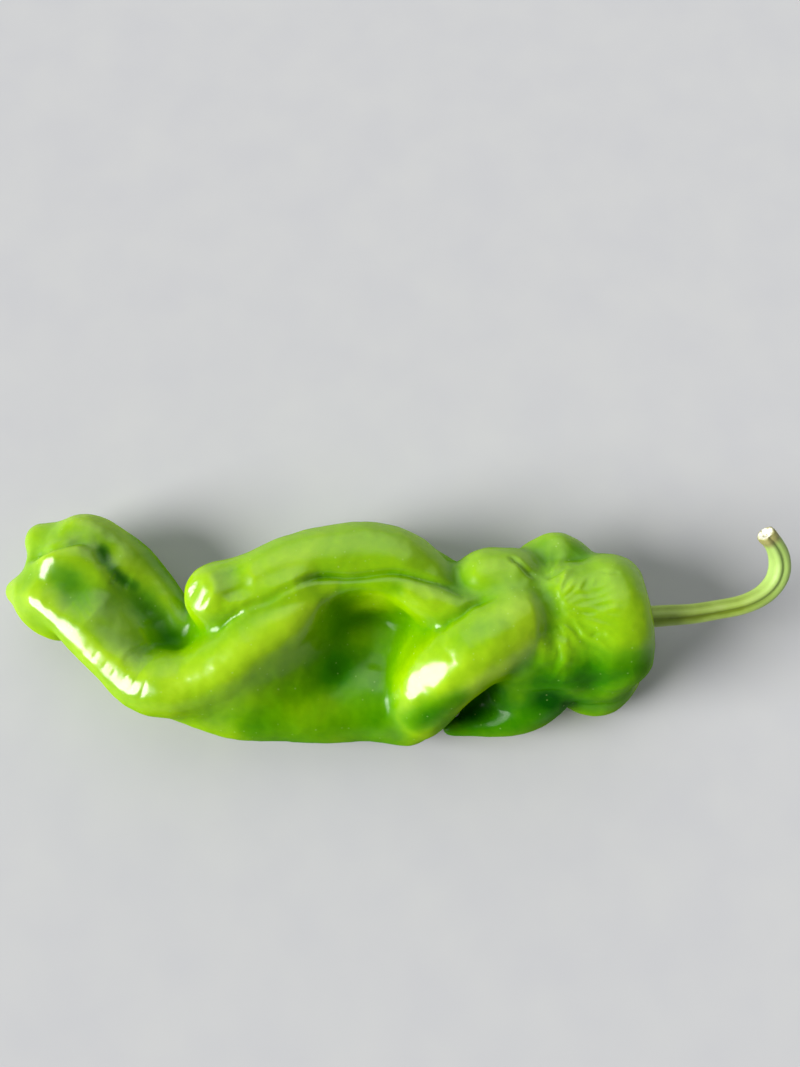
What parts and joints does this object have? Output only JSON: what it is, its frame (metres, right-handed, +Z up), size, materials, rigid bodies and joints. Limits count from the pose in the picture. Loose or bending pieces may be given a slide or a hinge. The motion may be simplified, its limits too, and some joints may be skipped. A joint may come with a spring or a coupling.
{
  "type": "chilli pepper",
  "caption": "Fresh green chilli pepper of the long frying kind, twisted and folded, with its calyx and hooked stem, lying on its side.",
  "frame": {"origin": "on the plane that the pepper lies on, below the middle of its bounding box", "axes": "+X from the blossom end to the stem, +Z up from the plane it lies on, and the stem hooks towards +Y"},
  "size_m": [0.1869, 0.0555, 0.0321],
  "materials": {
    "pepper_skin": "glossy waxy green fruit skin, yellow-green on the ridges and deep green in the hollows",
    "calyx_green": "satin dark green leaf tissue",
    "stem_green": "satin pale green ribbed stalk with a dry torn end"
  },
  "bodies": {
    "root": {"fruit": "pepper_skin", "calyx": "calyx_green", "stem": "stem_green"}
  },
  "joints": []
}
